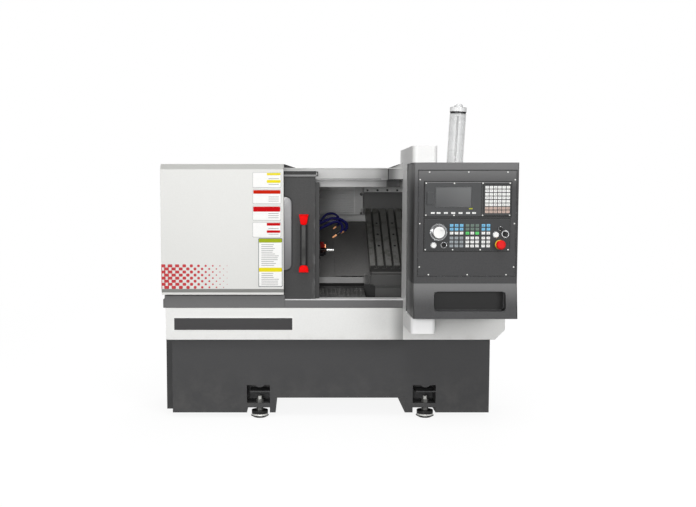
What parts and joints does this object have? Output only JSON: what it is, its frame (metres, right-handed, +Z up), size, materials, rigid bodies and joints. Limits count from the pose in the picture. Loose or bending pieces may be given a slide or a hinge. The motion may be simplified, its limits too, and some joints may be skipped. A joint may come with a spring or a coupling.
{
  "type": "cnc turning lathe",
  "caption": "Enclosed slant-bed turning lathe with a sliding front door, a gang-tool cross slide, a chuck and a control console on a post.",
  "frame": {"origin": "on the floor, under the middle of the machine's bounding box", "axes": "+X along the spindle from headstock to tail side, +Y to the back, +Z up"},
  "size_m": [1.692, 1.2, 1.5874],
  "materials": {
    "white_paint": "satin",
    "dark_paint": "satin",
    "grey_paint": "satin",
    "light_grey": "satin",
    "cast_iron": "matte",
    "ground_steel": "satin",
    "dark_steel": "satin",
    "chrome": "polished",
    "black_plastic": "matte",
    "white_plastic": "satin",
    "red_plastic": "satin",
    "yellow_plastic": "satin",
    "blue_hose": "satin",
    "copper": "polished",
    "clear_lens": "gloss",
    "pane": "gloss",
    "screen_glass": "gloss",
    "key_rubber": "matte",
    "bare_plate": "satin"
  },
  "bodies": {
    "frame": {"base_cabinet": "dark_paint", "levelling_feet": "dark_steel", "lower_body": "white_paint", "nameplate": "bare_plate", "bed_casting": "cast_iron", "left_cover": "white_paint", "sill_track": "grey_paint", "header_beam": "light_grey", "enclosure_shell": "white_paint", "control_post": "white_paint", "chamber_bulkheads": "dark_paint", "rear_shroud": "light_grey", "chamber_covers": "dark_steel", "headstock": "cast_iron", "spindle_bearings": "ground_steel", "spindle_motor": "dark_steel", "z_guideway": "ground_steel", "coolant_hoses": "blue_hose", "coolant_nozzles": "copper", "console_box": "dark_paint", "console_plate": "dark_paint", "display_unit": "black_plastic", "display_screen": "screen_glass", "operator_panel": "black_plastic", "stop_ring": "yellow_plastic", "panel_bezels": "chrome", "panel_keys": "key_rubber", "console_screws": "ground_steel", "lamp_lens": "clear_lens", "lamp_fittings": "black_plastic"},
    "door": {"door_panel": "dark_paint", "door_window": "pane", "door_hanger": "dark_steel", "door_handle": "black_plastic", "handle_caps": "red_plastic"},
    "roller_left": {"door_roller_left": "dark_steel"},
    "roller_right": {"door_roller_right": "dark_steel"},
    "spindle_body": {"spindle": "ground_steel", "chuck_body": "dark_steel", "bar_blank": "ground_steel"},
    "jaw_1": {"chuck_jaw_1": "copper"},
    "jaw_2": {"chuck_jaw_2": "dark_steel"},
    "jaw_3": {"chuck_jaw_3": "dark_steel"},
    "saddle_body": {"saddle": "cast_iron", "saddle_covers": "dark_steel"},
    "z_screw_body": {"z_screw": "ground_steel"},
    "cross_body": {"cross_slide": "ground_steel"},
    "x_screw_body": {"x_screw": "ground_steel"},
    "handwheel_body": {"handwheel": "white_plastic"},
    "button_left_body": {"button_left": "white_plastic"},
    "button_right_body": {"button_right": "white_plastic"},
    "key_body": {"key_switch": "chrome"},
    "selector_body": {"selector": "black_plastic"},
    "knob_body": {"knob_small": "black_plastic"},
    "stop_stem_body": {"stop_stem": "black_plastic"},
    "stop_button_body": {"stop_button": "red_plastic"},
    "flap_body": {"usb_flap": "black_plastic"},
    "cabinet_door_body": {"cabinet_door": "dark_paint"},
    "latch_body": {"cabinet_latch": "chrome"},
    "tank_body": {"coolant_tank": "grey_paint"}
  },
  "joints": [
    {"name": "door_slide", "type": "slide", "parent": "frame", "child": "door", "axis": [1, 0, 0], "range_m": [-0.06, 0.41]},
    {"name": "door_roller_left_spin", "type": "hinge", "parent": "door", "child": "roller_left", "pos_m": [-0.6, -0.136, 1.2073], "axis": [0, 1, 0], "continuous": true},
    {"name": "door_roller_right_spin", "type": "hinge", "parent": "door", "child": "roller_right", "pos_m": [-0.17, -0.136, 1.2073], "axis": [0, 1, 0], "continuous": true},
    {"name": "spindle_spin", "type": "hinge", "parent": "frame", "child": "spindle_body", "pos_m": [-0.3, -0.02, 0.833], "axis": [1, 0, 0], "continuous": true},
    {"name": "jaw_1_slide", "type": "slide", "parent": "spindle_body", "child": "jaw_1", "axis": [0, 0, 1], "range_m": [0, 0.004]},
    {"name": "jaw_2_slide", "type": "slide", "parent": "spindle_body", "child": "jaw_2", "axis": [0, -0.866, -0.5], "range_m": [0, 0.004]},
    {"name": "jaw_3_slide", "type": "slide", "parent": "spindle_body", "child": "jaw_3", "axis": [0, 0.866, -0.5], "range_m": [0, 0.004]},
    {"name": "z_slide", "type": "slide", "parent": "frame", "child": "saddle_body", "axis": [1, 0, 0], "range_m": [-0.15, 0]},
    {"name": "z_screw_spin", "type": "hinge", "parent": "frame", "child": "z_screw_body", "pos_m": [0, 0.27642, 0.76264], "axis": [1, 0, 0], "continuous": true},
    {"name": "x_slide", "type": "slide", "parent": "saddle_body", "child": "cross_body", "axis": [0, 0.8192, 0.5736], "range_m": [-0.12, 0.02]},
    {"name": "x_screw_spin", "type": "hinge", "parent": "saddle_body", "child": "x_screw_body", "pos_m": [0.325, 0.22169, 0.81465], "axis": [0, 0.8192, 0.5736], "continuous": true},
    {"name": "handwheel_spin", "type": "hinge", "parent": "frame", "child": "handwheel_body", "pos_m": [0.46, -0.58, 0.946], "axis": [0, 1, 0], "continuous": true},
    {"name": "button_left_push", "type": "slide", "parent": "frame", "child": "button_left_body", "axis": [0, 1, 0], "range_m": [0, 0.003], "stiffness_N_per_m": 800, "springref_m": -0.001},
    {"name": "button_right_push", "type": "slide", "parent": "frame", "child": "button_right_body", "axis": [0, 1, 0], "range_m": [0, 0.003], "stiffness_N_per_m": 800, "springref_m": -0.001},
    {"name": "key_turn", "type": "hinge", "parent": "frame", "child": "key_body", "pos_m": [0.484, -0.57, 0.888], "axis": [0, 1, 0], "range_deg": [0, 90]},
    {"name": "selector_turn", "type": "hinge", "parent": "frame", "child": "selector_body", "pos_m": [0.762, -0.575, 0.938], "axis": [0, 1, 0], "range_deg": [-60, 60]},
    {"name": "knob_turn", "type": "hinge", "parent": "frame", "child": "knob_body", "pos_m": [0.739, -0.575, 0.963], "axis": [0, 1, 0], "range_deg": [-140, 140]},
    {"name": "stop_push", "type": "slide", "parent": "frame", "child": "stop_stem_body", "axis": [0, 1, 0], "range_m": [0, 0.005], "stiffness_N_per_m": 1500, "springref_m": -0.001},
    {"name": "stop_twist", "type": "hinge", "parent": "stop_stem_body", "child": "stop_button_body", "pos_m": [0.738, -0.59, 0.89], "axis": [0, 1, 0], "range_deg": [0, 30], "stiffness_Nm_per_rad": 0.05},
    {"name": "usb_flap_hinge", "type": "hinge", "parent": "frame", "child": "flap_body", "pos_m": [0.406, -0.5679, 1.1], "axis": [0, 0, -1], "range_deg": [0, 100]},
    {"name": "cabinet_door_hinge", "type": "hinge", "parent": "frame", "child": "cabinet_door_body", "pos_m": [0.777, 0.4863, 0.2], "axis": [0, 0, -1], "range_deg": [0, 105]},
    {"name": "cabinet_latch_turn", "type": "hinge", "parent": "cabinet_door_body", "child": "latch_body", "pos_m": [0.544, 0.486, 0.19], "axis": [0, 1, 0], "range_deg": [0, 90]},
    {"name": "coolant_tank_slide", "type": "slide", "parent": "frame", "child": "tank_body", "axis": [0, 1, 0], "range_m": [0, 0.35]}
  ],
  "couplings": [
    {"joint": "door_roller_left_spin", "follows": "door_slide", "rad_per_m": 66.667},
    {"joint": "door_roller_right_spin", "follows": "door_slide", "rad_per_m": 66.667},
    {"joint": "jaw_2_slide", "follows": "jaw_1_slide", "ratio": 1},
    {"joint": "jaw_3_slide", "follows": "jaw_1_slide", "ratio": 1},
    {"joint": "z_screw_spin", "follows": "z_slide", "rad_per_m": 628.32},
    {"joint": "x_screw_spin", "follows": "x_slide", "rad_per_m": 628.32}
  ]
}
